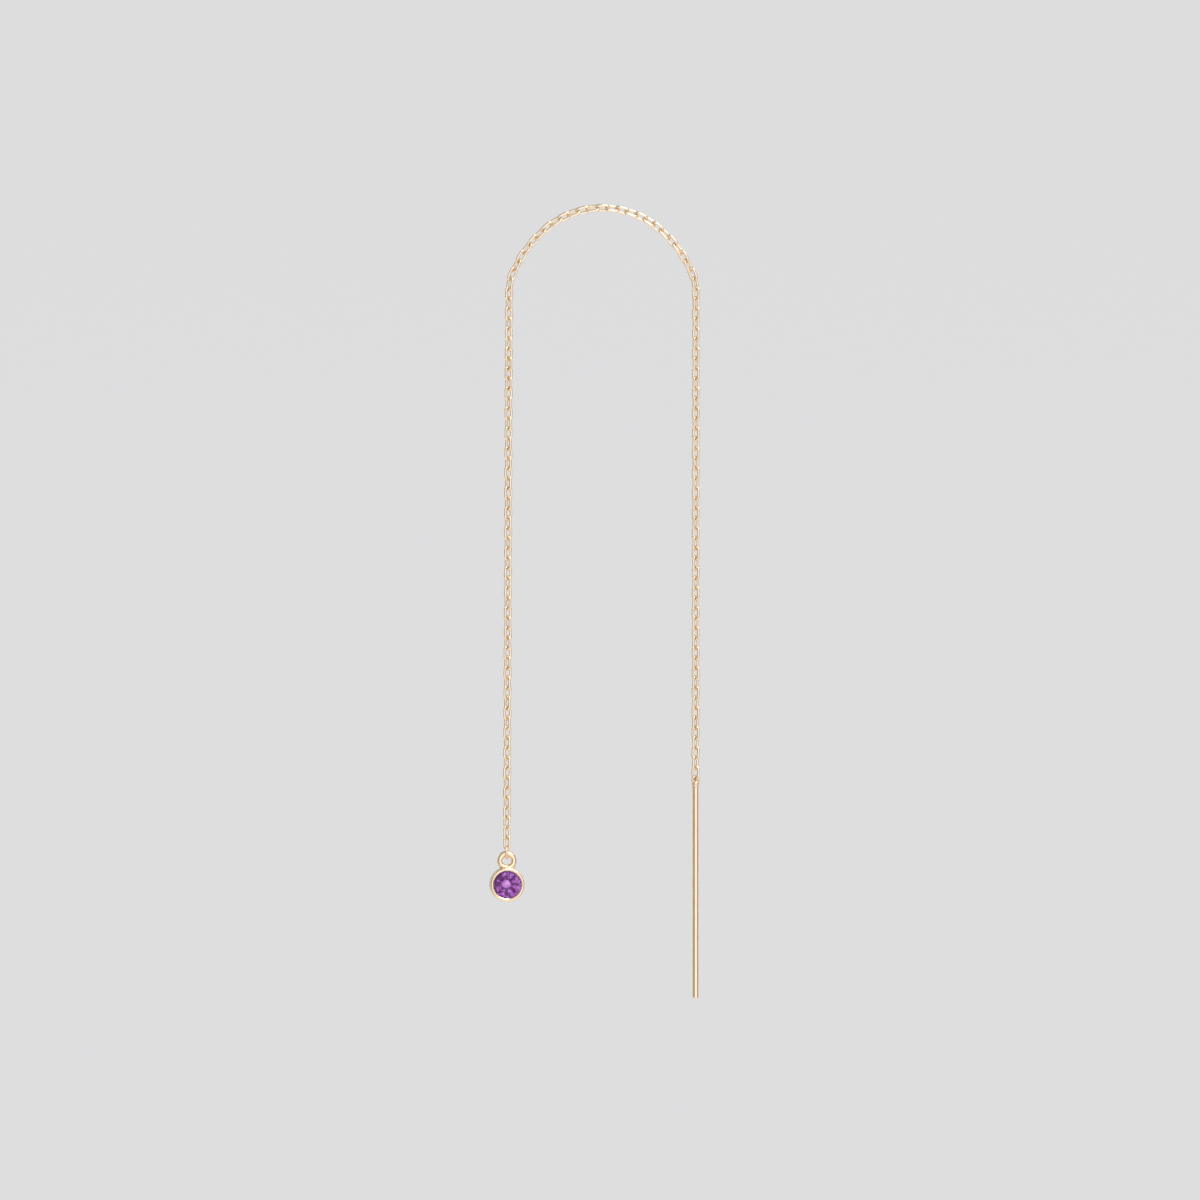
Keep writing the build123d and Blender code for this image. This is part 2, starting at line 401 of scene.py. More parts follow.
def link_places(sizes, side):
    """Places of the links from the top of the arch to one end."""
    left = side < 0
    lean = sizes.left_lean if left else sizes.right_lean
    last = sizes.arch_links + 1 + (sizes.left_links if left else sizes.right_links)
    joint = Vector((side * sizes.arch_pitch / MM / 2, 0, 0))
    places = []
    for step in range(1, last + 1):
        pitch = (sizes.pitch if step > sizes.arch_links + 1 else sizes.arch_pitch) / MM
        heading = link_heading(sizes, step, lean)
        along = Vector((side * math.cos(heading), 0, -math.sin(heading)))
        inward = Vector((-side * math.sin(heading), 0, -math.cos(heading)))
        roll = link_roll(sizes, step)
        if left:
            roll += sizes.end_twist * max(0.0, 1 - (last - step) / sizes.twisted_links)
        places.append((joint + along * (pitch / 2), along, inward, roll))
        joint += along * pitch
    return places


def end_wire_drop(sizes):
    """From a link's middle to the middle of its end wire."""
    return (sizes.pitch + sizes.wire + sizes.slack) / 2 / MM


def end_wire(sizes, side):
    """Middle of the last link's end wire, and the direction across that link."""
    middle, along, inward, roll = link_places(sizes, side)[-1]
    return middle + along * end_wire_drop(sizes), across_direction(inward, roll)


def model_link(sizes):
    """One link along X with its width along Y: a ring drawn out long, with a soldered seam."""
    wire, width = sizes.wire / MM, sizes.width / MM
    ring_steps, wire_sides = 28, 12
    stretch = end_wire_drop(sizes) - (width - wire) / 2
    link = wire_ring(
        "link", (width - wire) / 2, wire, ring_steps, wire_sides, offset=math.pi / ring_steps
    )
    for end in (-1, 1):
        pick(link, lambda co: co.x * end > 0)
        bpy.ops.transform.translate(value=(end * stretch, 0, 0))
    seam_reach = wire / 3
    for offset in (-seam_reach, 0, seam_reach):
        pick(link, lambda co: co.y > 0)
        bpy.ops.mesh.bisect(plane_co=(offset, 0, 0), plane_no=(1, 0, 0))
    pick(link, lambda co: co.y > 0 and abs(co.x) < seam_reach / 2)
    swell = 1 + sizes.seam_swell
    bpy.ops.transform.resize(
        value=(1, swell, swell), center_override=(0, (width - wire) / 2, 0)
    )
    bare_bench()
    return link


def gold_material(name, look, grain_scale, roughness, draw=(1, 1, 1)):
    """Gold with fine polish marks, soft unevenness and patches of a deeper tone.

    Draw stretches the marks: the smaller it is along an axis, the longer they run there."""
    finish = bpy.context.scene.earring_finish
    material = bpy.data.materials.new(name)
    material.use_nodes = True
    tree = material.node_tree
    nodes, links = tree.nodes, tree.links
    shader = nodes["Principled BSDF"]
    shader.inputs["Metallic"].default_value = 1.0
    shader.inputs["Coat Weight"].default_value = 0.0
    place = nodes.new("ShaderNodeTexCoord")
    marks = nodes.new("ShaderNodeGroup")
    marks.node_tree = polish_marks()
    marks.inputs["Draw"].default_value = draw
    marks.inputs["Grain Scale"].default_value = grain_scale
    marks.inputs["Roughness"].default_value = roughness
    tarnish = nodes.new("ShaderNodeGroup")
    tarnish.node_tree = soft_tarnish()
    tarnish.inputs["Bright"].default_value = (*look, 1)
    tarnish.inputs["Deep"].default_value = (*finish.gold_deep, 1)
    bump = nodes.new("ShaderNodeBump")
    bump.inputs["Strength"].default_value = 0.12
    bump.inputs["Distance"].default_value = 0.000004
    links.new(place.outputs["Object"], marks.inputs["Place"])
    links.new(place.outputs["Object"], tarnish.inputs["Place"])
    links.new(marks.outputs["Roughness"], shader.inputs["Roughness"])
    links.new(marks.outputs["Height"], bump.inputs["Height"])
    links.new(bump.outputs["Normal"], shader.inputs["Normal"])
    links.new(tarnish.outputs["Colour"], shader.inputs["Base Color"])
    return material


def new_group(name, inputs, outputs):
    """A shader node group with its sockets, each a name, a kind and for inputs a default."""
    group = bpy.data.node_groups.new(name, "ShaderNodeTree")
    for socket, kind, value in inputs:
        made = group.interface.new_socket(socket, in_out="INPUT", socket_type=kind)
        if value is not None:
            made.default_value = value
    for socket, kind in outputs:
        group.interface.new_socket(socket, in_out="OUTPUT", socket_type=kind)
    return group, group.nodes.new("NodeGroupInput"), group.nodes.new("NodeGroupOutput")


def noise(group, scale, detail, roughness=0.5):
    node = group.nodes.new("ShaderNodeTexNoise")
    node.inputs["Scale"].default_value = scale
    node.inputs["Detail"].default_value = detail
    node.inputs["Roughness"].default_value = roughness
    return node


def to_range(group, low, high, new_low, new_high):
    node = group.nodes.new("ShaderNodeMapRange")
    node.inputs["From Min"].default_value = low
    node.inputs["From Max"].default_value = high
    node.inputs["To Min"].default_value = new_low
    node.inputs["To Max"].default_value = new_high
    return node


def maths(group, operation, value=0.5):
    node = group.nodes.new("ShaderNodeMath")
    node.operation = operation
    node.inputs[1].default_value = value
    return node


def polish_marks():
    """Node group: fine polish or draw marks, as a height and as roughness round a middle value."""
    name = "polish marks"
    if name in bpy.data.node_groups:
        return bpy.data.node_groups[name]
    group, given, made = new_group(
        name,
        [
            ("Place", "NodeSocketVector", None),
            ("Draw", "NodeSocketVector", (1.0, 1.0, 1.0)),
            ("Grain Scale", "NodeSocketFloat", 8000.0),
            ("Roughness", "NodeSocketFloat", 0.12),
        ],
        [("Height", "NodeSocketFloat"), ("Roughness", "NodeSocketFloat")],
    )
    links = group.links
    drawn = group.nodes.new("ShaderNodeVectorMath")
    drawn.operation = "MULTIPLY"
    grain = noise(group, 8000, 3, 0.6)
    dents = noise(group, 1800, 2)
    both = maths(group, "MULTIPLY_ADD", 0.6)
    spread = to_range(group, 0.3, 0.7, 0.65, 1.5)
    rough = maths(group, "MULTIPLY")
    links.new(given.outputs["Place"], drawn.inputs[0])
    links.new(given.outputs["Draw"], drawn.inputs[1])
    links.new(drawn.outputs[0], grain.inputs["Vector"])
    links.new(given.outputs["Grain Scale"], grain.inputs["Scale"])
    links.new(given.outputs["Place"], dents.inputs["Vector"])
    links.new(grain.outputs[0], both.inputs[0])
    links.new(dents.outputs[0], both.inputs[2])
    links.new(both.outputs[0], made.inputs["Height"])
    links.new(grain.outputs[0], spread.inputs["Value"])
    links.new(spread.outputs[0], rough.inputs[0])
    links.new(given.outputs["Roughness"], rough.inputs[1])
    links.new(rough.outputs[0], made.inputs["Roughness"])
    return group


def soft_tarnish():
    """Node group: the bright metal with soft patches of a deeper tone."""
    name = "soft tarnish"
    if name in bpy.data.node_groups:
        return bpy.data.node_groups[name]
    group, given, made = new_group(
        name,
        [
            ("Place", "NodeSocketVector", None),
            ("Bright", "NodeSocketColor", (0.9, 0.7, 0.5, 1)),
            ("Deep", "NodeSocketColor", (0.8, 0.5, 0.3, 1)),
        ],
        [("Colour", "NodeSocketColor")],
    )
    links = group.links
    patches = noise(group, 900, 3, 0.55)
    patch_share = to_range(group, 0.45, 0.8, 0.0, 0.45)
    mixed = group.nodes.new("ShaderNodeMix")
    mixed.data_type = "RGBA"
    links.new(given.outputs["Place"], patches.inputs["Vector"])
    links.new(patches.outputs[0], patch_share.inputs["Value"])
    links.new(patch_share.outputs[0], mixed.inputs["Factor"])
    links.new(given.outputs["Bright"], mixed.inputs["A"])
    links.new(given.outputs["Deep"], mixed.inputs["B"])
    links.new(mixed.outputs["Result"], made.inputs["Colour"])
    return group


def painted_star_highlight(tree, place, facing):
    """Gives a painted highlight, a pale star in the stone's middle for the light its facets throw
    back, as a share from none to full.

    Facing is the drop's place in millimetres, with X up and Z out of the bezel's mouth."""
    finish = bpy.context.scene.earring_finish
    nodes, links = tree.nodes, tree.links
    aside = finish.painted_star_aside / MM
    middle = facing @ Vector((-aside, aside, 0))
    from_middle = nodes.new("ShaderNodeMapping")
    from_middle.vector_type = "TEXTURE"
    from_middle.inputs["Location"].default_value = middle * MM
    from_middle.inputs["Rotation"].default_value = facing.to_euler()
    flat = nodes.new("ShaderNodeVectorMath")
    flat.operation = "MULTIPLY"
    flat.inputs[1].default_value = (1, 1, 0)
    away = nodes.new("ShaderNodeVectorMath")
    away.operation = "LENGTH"
    parts = nodes.new("ShaderNodeSeparateXYZ")
    turn = maths(tree, "ARCTAN2")
    arms = maths(tree, "MULTIPLY", finish.painted_star_arms)
    wave = maths(tree, "COSINE")
    drawn_in = maths(tree, "MULTIPLY_ADD", -finish.painted_star_arm_reach)
    fade = to_range(tree, finish.painted_star_radius, finish.painted_star_radius + finish.painted_star_fade, 1.0, 0.0)
    links.new(place, from_middle.inputs[0])
    links.new(from_middle.outputs[0], flat.inputs[0])
    links.new(flat.outputs[0], away.inputs[0])
    links.new(from_middle.outputs[0], parts.inputs[0])
    links.new(parts.outputs["Y"], turn.inputs[0])
    links.new(parts.outputs["X"], turn.inputs[1])
    links.new(turn.outputs[0], arms.inputs[0])
    links.new(arms.outputs[0], wave.inputs[0])
    links.new(wave.outputs[0], drawn_in.inputs[0])
    links.new(away.outputs["Value"], drawn_in.inputs[2])
    links.new(drawn_in.outputs[0], fade.inputs["Value"])
    return fade.outputs[0]


def amethyst_material(facing):
    """Clear amethyst with soft zones of paler colour, and a painted highlight: a pale star in its
    middle.
    """
    finish = bpy.context.scene.earring_finish
    material = bpy.data.materials.new("amethyst")
    material.use_nodes = True
    tree = material.node_tree
    nodes, links = tree.nodes, tree.links
    shader = nodes["Principled BSDF"]
    shader.inputs["Transmission Weight"].default_value = 1.0
    shader.inputs["IOR"].default_value = finish.refraction
    shader.inputs["Roughness"].default_value = 0.0
    shader.inputs["Specular Tint"].default_value = (*finish.amethyst_gloss, 1)
    place = nodes.new("ShaderNodeTexCoord")
    zones = noise(tree, 1300, 1.5)
    zone_share = to_range(tree, 0.35, 0.75, 0.0, 0.6)
    # The stone's colour takes the paler of its real zones and the painted highlight of the star.
    paler = maths(tree, "MAXIMUM")
    mixed = nodes.new("ShaderNodeMix")
    mixed.data_type = "RGBA"
    mixed.inputs["A"].default_value = (*finish.amethyst, 1)
    mixed.inputs["B"].default_value = (*finish.amethyst_zones_and_painted_star, 1)
    links.new(place.outputs["Object"], zones.inputs["Vector"])
    links.new(zones.outputs[0], zone_share.inputs["Value"])
    links.new(painted_star_highlight(tree, place.outputs["Object"], facing), paler.inputs[0])
    links.new(zone_share.outputs[0], paler.inputs[1])
    links.new(paler.outputs[0], mixed.inputs["Factor"])
    links.new(mixed.outputs["Result"], shader.inputs["Base Color"])
    return material


class EARRING_OT_stage(bpy.types.Operator):
    """Makes the camera, the pale floor and the soft studio light"""
    bl_idname = "earring.stage"
    bl_label = "Stage"

    def execute(self, context):
        stage = context.scene.earring_stage
        self.add_camera(context, stage)
        self.add_floor(stage)
        self.add_surround(context, stage)
        self.add_softboxes(context)
        context.scene.view_settings.view_transform = "Standard"
        return {"FINISHED"}

    def add_camera(self, context, stage):
        """The photograph is square and sees the earring level, from the front."""
        picture_middle = Vector((-stage.picture_left, 0, -stage.picture_down))
        lens = bpy.data.cameras.new("camera")
        lens.sensor_width = 36
        lens.lens = lens.sensor_width * stage.camera_distance / stage.frame_width
        camera = bpy.data.objects.new("camera", lens)
        camera.location = picture_middle - FRONT_TO_BACK * stage.camera_distance
        camera.rotation_euler = (math.pi / 2, 0, 0)
        context.scene.collection.objects.link(camera)
        context.scene.camera = camera

    def add_floor(self, stage):
        """A pale floor that sweeps up into a round wall without a seam."""
        level = BAR_TIP * MM - stage.floor_drop
        wall = stage.floor_radius + stage.sweep_radius
        wall_foot = level + stage.sweep_radius
        outline = arc(stage.floor_radius, wall_foot, stage.sweep_radius, -90, 0, steps=24)
        outline.append((wall, wall_foot + stage.wall_height))
        sweep = turn_on_lathe("floor", outline, sides=96)
        bpy.ops.object.mode_set(mode="EDIT")
        bpy.ops.mesh.delete(type="FACE")
        bpy.ops.object.mode_set(mode="OBJECT")
        bpy.ops.object.shade_smooth()
        material = bpy.data.materials.new("floor")
        material.use_nodes = True
        tree = material.node_tree
        nodes, links = tree.nodes, tree.links
        shader = nodes["Principled BSDF"]
        shader.inputs["Base Color"].default_value = (0, 0, 0, 1)
        shader.inputs["Roughness"].default_value = 1.0
        shader.inputs["Specular IOR Level"].default_value = 0.0
        shader.inputs["Emission Color"].default_value = (*stage.floor_colour, 1)
        place = nodes.new("ShaderNodeTexCoord")
        parts = nodes.new("ShaderNodeSeparateXYZ")
        upward = to_range(tree, level, wall_foot, 1.0, stage.wall_shade)
        upward.interpolation_type = "SMOOTHSTEP"
        links.new(place.outputs["Object"], parts.inputs[0])
        links.new(parts.outputs["Z"], upward.inputs["Value"])
        links.new(upward.outputs[0], shader.inputs["Emission Strength"])
        sweep.data.materials.append(material)
        sweep.visible_diffuse = False
        sweep.visible_glossy = False
        sweep.visible_transmission = False
        sweep.visible_shadow = False
        bare_bench()

    def add_surround(self, context, stage):
        """Soft light from all round, brighter from below, where the pale floor throws it back.

        It brightens from 14 degrees below level to 49 degrees below, where Z is -0.75."""
        world = bpy.data.worlds.new("surround")
        context.scene.world = world
        world.use_nodes = True
        nodes, links = world.node_tree.nodes, world.node_tree.links
        heading = nodes.new("ShaderNodeTexCoord")
        parts = nodes.new("ShaderNodeSeparateXYZ")
        downward = to_range(world.node_tree, -0.25, -0.75, 0.0, 1.0)
        mixed = nodes.new("ShaderNodeMix")
        mixed.data_type = "RGBA"
        mixed.inputs["A"].default_value = (*stage.surround, 1)
        mixed.inputs["B"].default_value = (*stage.bounce, 1)
        links.new(heading.outputs["Generated"], parts.inputs[0])
        links.new(parts.outputs["Z"], downward.inputs["Value"])
        links.new(downward.outputs[0], mixed.inputs["Factor"])
        links.new(mixed.outputs["Result"], nodes["Background"].inputs["Color"])

    def add_softboxes(self, context):
        """Large softboxes light the metal, and a frame of four round the lens lights the stone.

        Each has its width and height in metres, its turn round the earring and its rise above
        it in degrees, its distance in metres and its radiance."""
        half_way_down = Vector((0, 0, -40)) * MM
        for name, sizes in (
            ("front_box", (0.92, 0.9, 16, 4, 0.75, 0.85)),
            ("left_edge_box", (0.30, 0.9, -140, 5, 0.85, 1.3)),
            ("right_edge_box", (0.30, 0.9, 140, 5, 0.85, 1.3)),
            ("top_box", (0.7, 0.7, 70, 62, 0.75, 1.2)),
            ("key_box", (0.40, 0.30, 25, 50, 0.75, 3.0)),
        ):
            box = self.add_softbox(context, name, half_way_down, *sizes)
            box.visible_transmission = name != "front_box"
        stone = drop_facing(context.scene).translation * MM
        for name, sizes in (
            ("stone_upper_box", (0.95, 0.32, 5, 24, 0.68, 1.2)),
            ("stone_lower_box", (0.95, 0.32, 5, -24, 0.68, 1.2)),
            ("stone_left_box", (0.32, 0.31, -19, 0, 0.68, 1.2)),
            ("stone_right_box", (0.32, 0.31, 29, 0, 0.68, 1.2)),
        ):
            box = self.add_softbox(context, name, stone, *sizes)
            box.visible_glossy = False
            box.visible_diffuse = False

    def add_softbox(self, context, name, target, width, height, turn, rise, away, radiance):
        """Adds a softbox turned round its target and raised above it, and returns it."""
        lamp = bpy.data.lights.new(name, "AREA")
        lamp.shape = "RECTANGLE"
        lamp.size, lamp.size_y = width, height
        lamp.energy = radiance * math.pi * width * height
        turn, rise = math.radians(turn), math.radians(rise)
        outward = Vector(
            (math.sin(turn) * math.cos(rise), -math.cos(turn) * math.cos(rise), math.sin(rise))
        )
        box = bpy.data.objects.new(name, lamp)
        box.location = target + outward * away
        box.rotation_euler = outward.to_track_quat("Z", "Y").to_euler()
        box.visible_camera = False
        context.scene.collection.objects.link(box)
        return box


class EARRING_OT_chain(bpy.types.Operator):
    """Makes the cable chain, link by link, over the arch and down both legs"""
    bl_idname = "earring.chain"
    bl_label = "Cable chain"

    def execute(self, context):
        sizes = context.scene.earring_chain
        link = model_link(sizes)
        shake = random.Random(7)
        top = (Vector((0, 0, 0)), Vector((1, 0, 0)), -UP, link_roll(sizes, 0))
        places = link_places(sizes, -1) + [top] + link_places(sizes, 1)
        links = []
        for middle, along, inward, roll in places:
            only(link)
            bpy.ops.object.duplicate(linked=False)
            copy = context.object
            roll += shake.uniform(-1, 1) * sizes.unevenness
            across = across_direction(inward, roll)
            copy.matrix_world = frame_of(middle, along, along.cross(across))
            links.append(copy)
        bpy.data.objects.remove(link)
        chain = join(links, "chain_links")
        bake_place(chain)
        close_up(chain)
        finish = context.scene.earring_finish
        # The chain gets the paler copy of the gold, a painted highlight for the creamier light on
        # its thin wires.
        gold = gold_material("gold_chain_painted_pale", finish.gold_chain_painted_pale, grain_scale=14000, roughness=0.13)
        finish_piece(chain, gold, "root", "chain")
        return {"FINISHED"}


def ring_middle(scene):
    """Middle of the jump ring, which hangs on the last left link's end wire."""
    held_by, _ = end_wire(scene.earring_chain, -1)
    held_by.z += (scene.earring_chain.wire - scene.earring_ring.inner) / MM / 2
    return held_by


class EARRING_OT_jump_ring(bpy.types.Operator):
    """Makes the jump ring that the drop hangs from"""
    bl_idname = "earring.jump_ring"
    bl_label = "Jump ring"

    def execute(self, context):
        sizes = context.scene.earring_ring
        wire = sizes.wire / MM
        radius = (sizes.inner + sizes.wire) / MM / 2
        across = across_direction(Vector((1, 0, 0)), sizes.roll)
        centre = ring_middle(context.scene)
        ring = wire_ring("jump_ring_wire", radius, wire, steps=64, sides=20)
        seam = sizes.seam / MM
        for offset in (-seam, 0, seam):
            pick(ring, lambda co: co.x > 0 and abs(co.y) < radius / 2)
            bpy.ops.mesh.bisect(plane_co=(0, offset, 0), plane_no=(0, 1, 0))
        pick(ring, lambda co: co.x > 0 and abs(co.y) < seam / 2)
        waist = sizes.seam_waist
        bpy.ops.transform.resize(value=(waist, 1, waist), center_override=(radius, 0, 0))
        bare_bench()
        put(ring, frame_of(centre, across, across.cross(UP)))
        close_up(ring)
        finish = context.scene.earring_finish
        gold = gold_material("gold_ring", finish.gold, grain_scale=14000, roughness=0.12)
        finish_piece(ring, gold, "ring", "jump_ring")
        return {"FINISHED"}


def drop_facing(scene):
    """The place of the bezel, hung from the ring: its middle, with X up and Z out of its mouth."""
    setting = scene.earring_setting
    front = Vector((math.sin(setting.turn), -math.cos(setting.turn), 0))
    middle = ring_middle(scene)
    hole_top = middle.z - scene.earring_ring.inner / MM / 2
    middle.z = hole_top - (setting.loop_radius - setting.loop_wire / 2 + setting.loop_rise) / MM
    return frame_of(middle, UP, front)


class EARRING_OT_setting(bpy.types.Operator):
    """Makes the bezel with its closed back, its rubbed-over lip and its soldered loop"""
    bl_idname = "earring.setting"
    bl_label = "Bezel and loop"

    def execute(self, context):
        sizes = context.scene.earring_setting
        stone = context.scene.earring_stone
        cup = turn_on_lathe("cup", self.cup_outline(sizes, stone), sides=128)
        close_up(cup)
        loop = wire_ring(
            "loop", sizes.loop_radius / MM, sizes.loop_wire / MM, steps=72, sides=32,
            place=Matrix.Translation((sizes.loop_rise / MM, 0, 0)),
        )
        body = solder_together(
            [cup, loop] + self.solder_drops(sizes), "bezel_setting", voxel=0.03, passes=5
        )
        lip = turn_on_lathe("lip", self.lip_outline(sizes), sides=128, hoop=True)
        close_up(lip)
        whole = join([body, lip], "bezel_setting")
        put(whole, drop_facing(context.scene))
        finish = context.scene.earring_finish
        gold = gold_material("gold_setting", finish.gold, grain_scale=11000, roughness=0.11)
        finish_piece(whole, gold, "drop", "bezel_drop")
        return {"FINISHED"}

    def cup_outline(self, sizes, stone):
        """Outline of the cup from the middle of its back, round its wall and down into its well."""
        front = sizes.depth / MM / 2
        wall = (sizes.radius - sizes.lip_groove) / MM
        back_round = sizes.back_round / MM
        well = sizes.well_radius / MM
        seat_radius = (stone.radius + sizes.seat_room) / MM
        under_lip = front - sizes.lip_height / MM / 2
        girdle = front - (stone.below_lip + stone.girdle) / MM
        seat = girdle - (seat_radius - well) * math.tan(stone.pavilion_slope)
        seat -= sizes.seat_drop / MM
        floor = -front + sizes.floor / MM
        back_rim = 0.4  # width of the outer ring of the flat back
        outline = [(SLIM, -front), (wall - back_round - back_rim, -front)]
        outline += arc(wall - back_round, back_round - front, back_round, -90, 0, 8)
        outline += [(wall, under_lip), (seat_radius, under_lip), (seat_radius, girdle)]
        outline += [(well, seat), (well, floor), (SLIM, floor)]
        return outline

    def lip_outline(self, sizes):
        """Outline of the lip: a crowned ring whose inner edge is rubbed down over the stone.

        Its small edges are rounded by twice the depth of the groove under it."""
        front = sizes.depth / MM / 2
        outer = sizes.radius / MM
        mouth = sizes.mouth_radius / MM
        height = sizes.lip_height / MM
        edge = sizes.lip_round / MM
        bevel = sizes.lip_bevel / MM
        dip = sizes.lip_dip / MM
        rolled = sizes.lip_groove / MM * 2
        outline = [(mouth + bevel, front - height), (outer - 2 * rolled, front - height)]
        outline += arc(outer - rolled, front - height + rolled, rolled, -90, 0, 3)
        outline += arc(outer - edge, front - edge, edge, 10, 80, 8)
        slope = 90 + math.degrees(math.atan2(dip, bevel - rolled))
        outline += arc(mouth + bevel, front - rolled, rolled, 85, slope, 3)
        outline += arc(mouth + rolled, front - dip - rolled, rolled, slope, 180, 4)
        outline += [(mouth, front - height + rolled)]
        return outline + outline[:1]

    def solder_drops(self, sizes):
        """Small drops of solder in the two notches between the loop's foot and the wall."""
        out = (sizes.radius + sizes.solder_out) / MM
        drops = []
        for side, size in ((-1, 1.0), (1, sizes.solder_share)):
            bare_bench()
            bpy.ops.mesh.primitive_uv_sphere_add(
                segments=24, ring_count=12, radius=sizes.solder / MM * size,
                location=(out, side * sizes.solder_aside / MM, 0),
            )
            drop = bpy.context.object
            drop.scale.z = 1.1  # a little longer from front to back
            bake_place(drop)
            drops.append(drop)
        return drops


class EARRING_OT_stone(bpy.types.Operator):
    """Cuts the amethyst facet by facet and sets it in the bezel"""
    bl_idname = "earring.stone"
    bl_label = "Amethyst"

    def execute(self, context):
        cut = context.scene.earring_stone
        setting = context.scene.earring_setting
        stone = self.cut_stone(cut)
        up = (setting.depth / 2 - cut.below_lip) / MM
        put(stone, drop_facing(context.scene) @ Matrix.Translation((0, 0, up)))
        close_up(stone)
        material = amethyst_material(drop_facing(context.scene))
        finish_piece(stone, material, "drop", "faceted_stone", 0)
        return {"FINISHED"}

    def grind(self, turn, slope, radius, height):
        """Grinds a flat on the stone in hand, through the point at that radius and height."""
        outward = Vector((math.cos(turn), math.sin(turn), 0))
        normal = outward * math.sin(abs(slope)) + UP * math.copysign(math.cos(slope), slope)
        bpy.ops.mesh.select_all(action="SELECT")
        bpy.ops.mesh.bisect(
            plane_co=outward * radius + UP * height, plane_no=normal,
            use_fill=True, clear_outer=True, threshold=1e-5,
        )

    def cut_stone(self, cut):
        """A round brilliant, table up along Z, with the top of its girdle at zero height."""
        radius, table, girdle = cut.radius / MM, cut.table / MM, cut.girdle / MM
        eighth = math.pi / 4
        half, quarter = eighth / 2, eighth / 4
        chord, edge = math.cos(quarter), math.cos(half)
        crown_rise = math.tan(cut.crown_slope)
        crown = (radius - table) * crown_rise
        star_radius = cut.star_reach * radius
        star_height = (radius - star_radius * edge) * crown_rise
        star_slope = math.atan2(crown - star_height, star_radius - table * edge)
        upper_slope = math.atan2(star_height, (radius - star_radius) * chord)
        pavilion_rise = math.tan(cut.pavilion_slope)
        lower_radius = cut.lower_reach * radius
        lower_depth = (radius - lower_radius * edge) * pavilion_rise
        lower_slope = math.atan2(lower_depth, (radius - lower_radius) * chord)
        depth = crown + girdle + radius * pavilion_rise
        bare_bench()
        bpy.ops.mesh.primitive_cylinder_add(
            vertices=128, radius=radius, depth=depth, location=(0, 0, crown - depth / 2)
        )
        stone = bpy.context.object
        stone.name = "amethyst"
        bake_place(stone)
        bpy.ops.object.mode_set(mode="EDIT")
        for turn in range(8):
            main = turn * eighth
            self.grind(main, cut.crown_slope, radius, 0)
            self.grind(main + half, star_slope, table * edge, crown)
            self.grind(main, -cut.pavilion_slope, radius, -girdle)
            for side in (-quarter, quarter):
                self.grind(main + side, upper_slope, radius * chord, 0)
                self.grind(main + side, -lower_slope, radius * chord, -girdle)
        bpy.ops.object.mode_set(mode="OBJECT")
        return stone


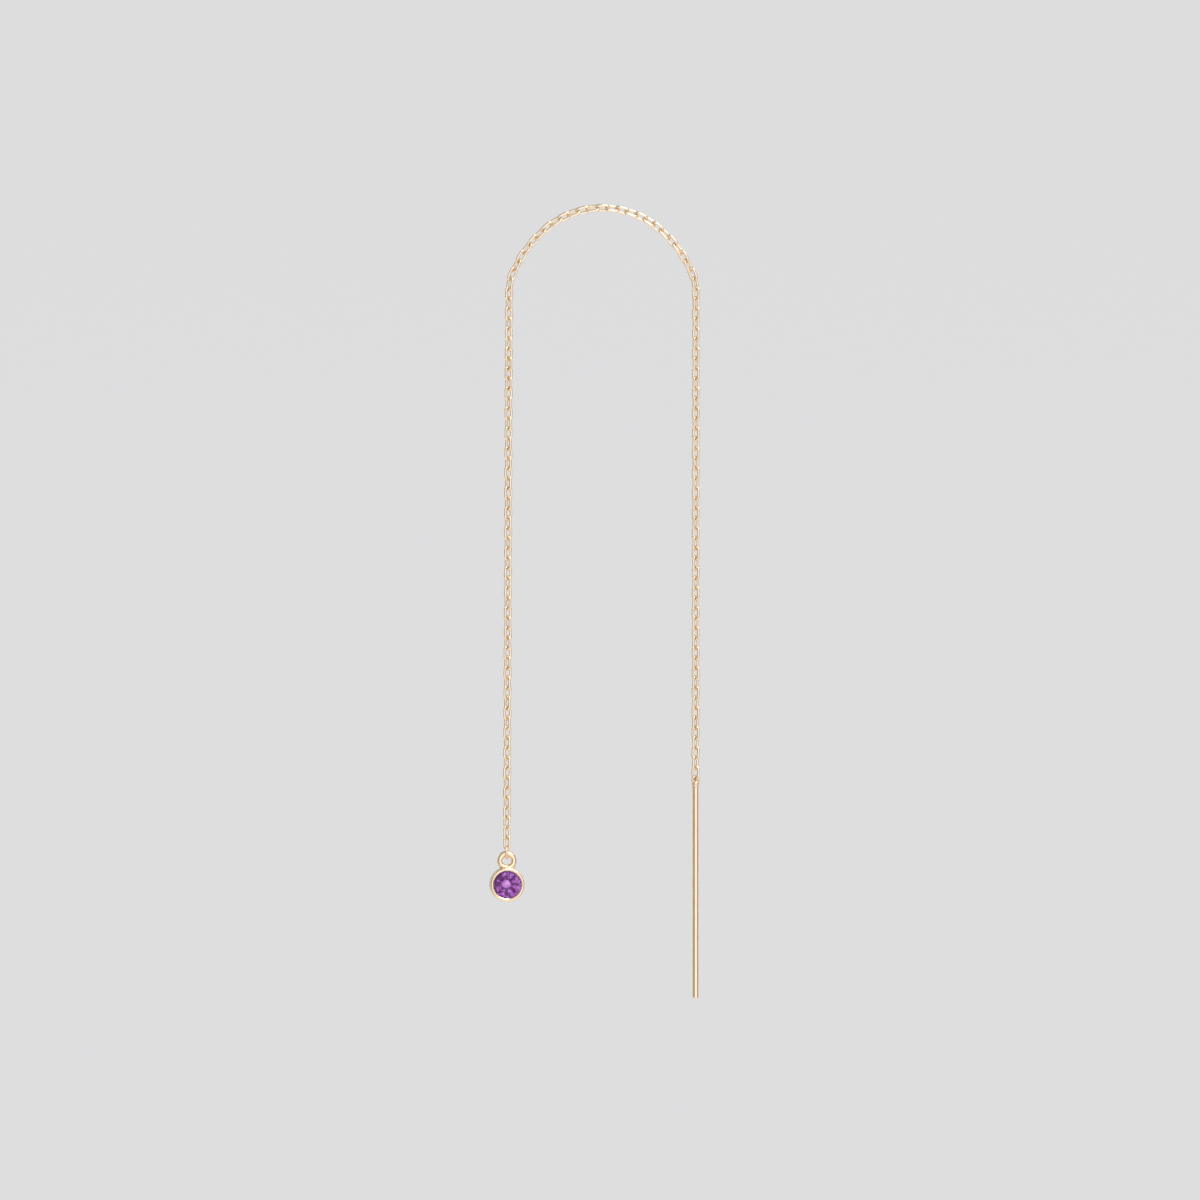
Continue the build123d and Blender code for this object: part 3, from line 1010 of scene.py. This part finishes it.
class EARRING_OT_bar(bpy.types.Operator):
    """Makes the straight bar with the eye soldered on its top"""
    bl_idname = "earring.bar"
    bl_label = "Bar and eye"

    def execute(self, context):
        sizes = context.scene.earring_bar
        chain = context.scene.earring_chain
        held_by, link_across = end_wire(chain, 1)
        eye_radius, eye_wire = sizes.eye_radius / MM, sizes.eye_wire / MM
        inner_top = held_by.z + chain.wire / MM / 2
        eye_up = inner_top - (eye_radius - eye_wire / 2)
        eye_axis = Matrix.Rotation(-sizes.eye_turn, 3, "Z") @ link_across
        eye_place = frame_of(
            Vector((held_by.x, held_by.y, eye_up)), UP.cross(eye_axis), eye_axis
        )
        eye = wire_ring("eye", eye_radius, eye_wire, steps=48, sides=24, place=eye_place)
        widest = eye_up - sizes.bead_rise / MM
        shift = Matrix.Translation((held_by.x, held_by.y, 0))
        bead = turn_on_lathe("bead", self.bead_outline(sizes, widest), sides=64)
        put(bead, shift)
        close_up(bead)
        head = solder_together([bead, eye], "head", voxel=0.018, passes=4)
        under_bead = widest - sizes.bead_length / MM / 2
        rod = turn_on_lathe("rod", self.rod_outline(sizes, under_bead), sides=64)
        put(rod, shift)
        close_up(rod)
        finish = context.scene.earring_finish
        gold = gold_material(
            "gold_bar", finish.gold, grain_scale=12000, roughness=0.12, draw=(1, 1, 0.04)
        )
        solder = gold_material("solder", finish.solder, grain_scale=9000, roughness=0.33)
        rod.data.materials.append(gold)
        head.data.materials.append(solder)
        whole = join([rod, head], "bar_and_eye")
        finish_piece(whole, None, "bar", "threader_bar", math.radians(40))
        return {"FINISHED"}

    def bead_outline(self, sizes, widest):
        """Outline of the bead of solder, from its foot inside the bar up over the eye's foot."""
        bar, bead = sizes.radius / MM, sizes.bead_radius / MM
        half = sizes.bead_length / MM / 2
        foot = widest - half - sizes.solder_reach / MM
        skin = bar * sizes.solder_swell
        crest, summit = bar * 0.6, bar * 0.4  # where the bead draws in to the eye's foot
        outline = [(bar / 2, foot), (bar, foot), (skin, foot + bar / 4)]
        outline += [(skin, widest - half - bar / 4), (skin, widest - half)]
        steps = 12
        for step in range(1, steps):
            at = math.pi * (step / steps - 0.5)
            neck = bar if at < 0 else crest
            outline.append((neck + (bead - neck) * math.cos(at), widest + half * math.sin(at)))
        return outline + [(summit, widest + half)]

    def rod_outline(self, sizes, top):
        """Outline of the straight bar from its rounded tip up to the bead."""
        bar, tip_round = sizes.radius / MM, sizes.tip_round / MM
        bottom = BAR_TIP
        outline = [(SLIM / 2, bottom)]
        outline += arc(bar - tip_round, bottom + tip_round, tip_round, -90, 0, 8)
        lengths = 12
        for step in range(1, lengths + 1):
            reached = (top - bottom - tip_round) * step / lengths
            outline.append((bar, bottom + tip_round + reached))
        end = top + bar / 4  # the bar's end lies inside the bead
        return outline + [(bar * 0.9, end), (bar / 4, end)]


class EARRING_PT_panel(bpy.types.Panel):
    """Lists the earring's pieces"""
    bl_idname = "EARRING_PT_panel"
    bl_label = "Threader earring"
    bl_space_type = "VIEW_3D"
    bl_region_type = "UI"
    bl_category = "Earring"

    def draw(self, context):
        for settings, operators in PANEL_ROWS:
            box = self.layout.box()
            group = getattr(context.scene, settings)
            for sizing in group.__annotations__:
                box.prop(group, sizing)
            for operator in operators:
                box.operator(operator)


SETTINGS = {
    "earring_stage": EarringStage,
    "earring_finish": EarringFinish,
    "earring_chain": EarringChain,
    "earring_ring": EarringRing,
    "earring_setting": EarringSetting,
    "earring_stone": EarringStone,
    "earring_bar": EarringBar,
}
PANEL_ROWS = (
    ("earring_stage", ("earring.stage",)),
    ("earring_finish", ()),
    ("earring_chain", ("earring.chain",)),
    ("earring_ring", ("earring.jump_ring",)),
    ("earring_setting", ("earring.setting",)),
    ("earring_stone", ("earring.stone",)),
    ("earring_bar", ("earring.bar",)),
)
OPERATORS = (
    EARRING_OT_stage,
    EARRING_OT_chain,
    EARRING_OT_jump_ring,
    EARRING_OT_setting,
    EARRING_OT_stone,
    EARRING_OT_bar,
)


def register():
    for name, group in SETTINGS.items():
        bpy.utils.register_class(group)
        setattr(bpy.types.Scene, name, bpy.props.PointerProperty(type=group))
    for operator in OPERATORS:
        bpy.utils.register_class(operator)
    bpy.utils.register_class(EARRING_PT_panel)


def unregister():
    bpy.utils.unregister_class(EARRING_PT_panel)
    for operator in reversed(OPERATORS):
        bpy.utils.unregister_class(operator)
    for name, group in reversed(SETTINGS.items()):
        delattr(bpy.types.Scene, name)
        bpy.utils.unregister_class(group)


def write_sizes():
    """Brings the scene's placings up to date."""
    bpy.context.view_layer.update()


def main():
    register()
    bpy.ops.earring.stage()
    bpy.ops.earring.chain()
    bpy.ops.earring.jump_ring()
    bpy.ops.earring.setting()
    bpy.ops.earring.stone()
    bpy.ops.earring.bar()
    write_sizes()


if __name__ == "__main__":
    main()
